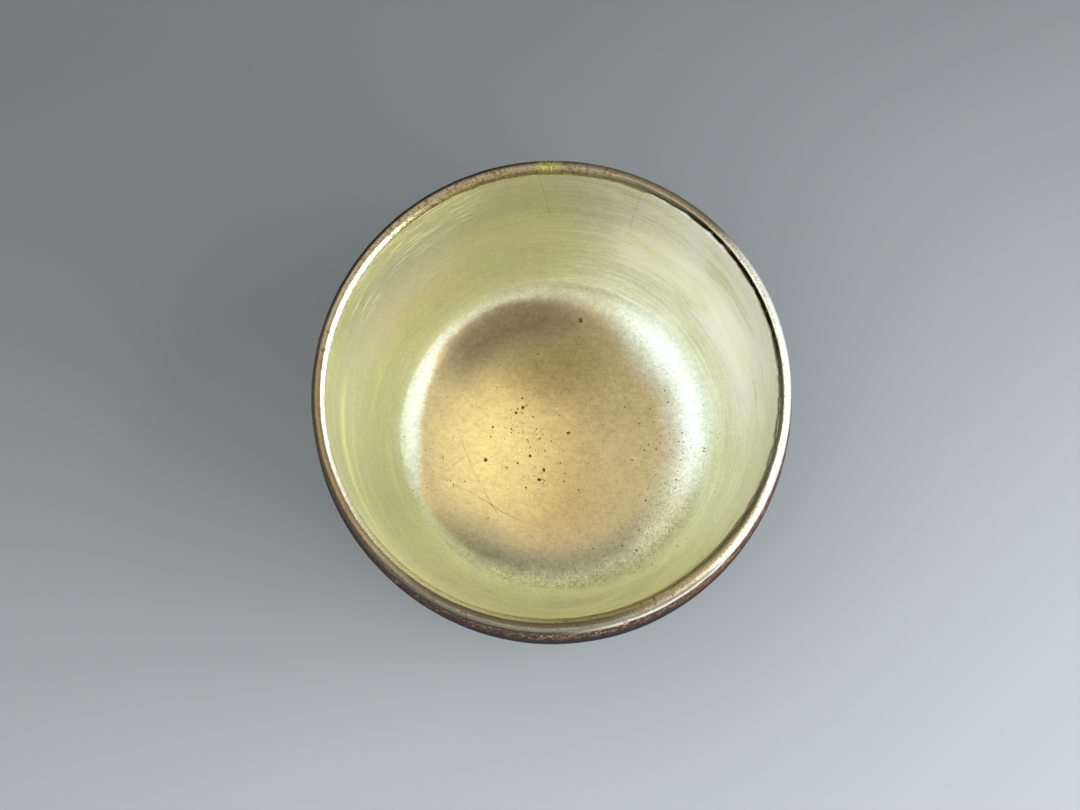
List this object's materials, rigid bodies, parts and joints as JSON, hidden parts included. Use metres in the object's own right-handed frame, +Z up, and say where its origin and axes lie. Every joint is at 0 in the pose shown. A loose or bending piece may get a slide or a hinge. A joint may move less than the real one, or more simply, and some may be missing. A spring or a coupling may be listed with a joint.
{
  "type": "matcha bowl",
  "caption": "Deep round tea bowl with a turned foot ring, dark glazed outside and silver-lined inside, for whisking and drinking powdered tea",
  "frame": {"origin": "centre of the circle that the foot ring stands on, at table height", "axes": "+Z up along the bowl's axis of revolution; +X and +Y are level and equal"},
  "size_m": [0.1232, 0.1232, 0.079],
  "materials": {
    "stoneware": "matte",
    "liner_glaze": "gloss",
    "dark_glaze": "gloss",
    "silver": "satin"
  },
  "bodies": {
    "root": {"clay_body": "stoneware", "liner_glaze": "liner_glaze", "outer_glaze": "dark_glaze", "silver_lining": "silver"}
  },
  "joints": []
}
